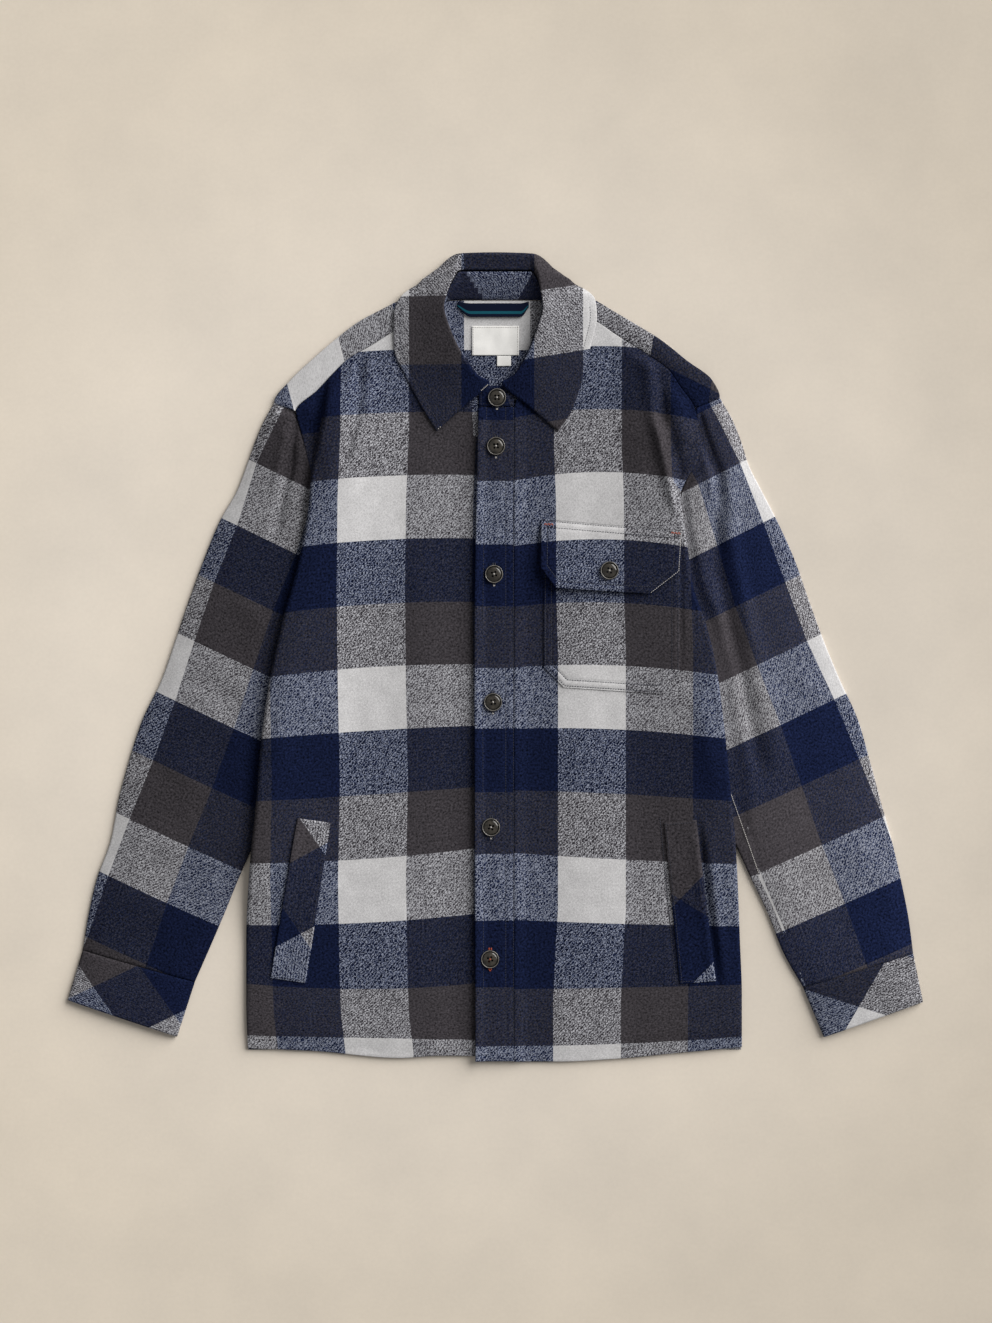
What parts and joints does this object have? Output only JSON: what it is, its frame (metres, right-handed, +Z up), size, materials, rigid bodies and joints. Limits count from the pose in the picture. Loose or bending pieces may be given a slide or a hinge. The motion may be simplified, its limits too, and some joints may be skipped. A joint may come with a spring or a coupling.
{
  "type": "shirt jacket",
  "caption": "Shirt-jacket in a three-colour block-check twill, laid flat and buttoned, with a pointed collar, a flapped chest pocket and slanted welt pockets",
  "frame": {"origin": "on the surface the jacket lies on, under the middle of its outline", "axes": "+X across the garment to the viewer's right, +Y from hem to collar, +Z up from the surface"},
  "size_m": [0.8735, 0.8258, 0.0178],
  "materials": {
    "check_cloth": "brushed twill",
    "bias_cloth": "brushed twill, cut on the bias",
    "horn": "satin",
    "tape": "woven tape",
    "label": "bare satin"
  },
  "bodies": {
    "root": {"back": "check_cloth", "yoke_back": "check_cloth", "yoke_left": "check_cloth", "yoke_right": "check_cloth", "front_left": "check_cloth", "front_right": "check_cloth", "placket": "check_cloth", "sleeve_left_top": "check_cloth", "sleeve_left_under": "check_cloth", "sleeve_right_top": "check_cloth", "sleeve_right_under": "check_cloth", "collar_leaf": "check_cloth", "chest_pocket": "check_cloth", "pocket_flap": "check_cloth", "cuff_left_top": "bias_cloth", "cuff_left_under": "bias_cloth", "cuff_right_top": "bias_cloth", "cuff_right_under": "bias_cloth", "collar_stand": "bias_cloth", "stand_tab": "bias_cloth", "welt_left": "bias_cloth", "welt_right": "bias_cloth", "button_neck": "horn", "button_1": "horn", "button_2": "horn", "button_3": "horn", "button_4": "horn", "button_5": "horn", "button_pocket": "horn", "hanger_loop": "tape", "neck_label": "label", "size_tab": "label"}
  },
  "joints": []
}
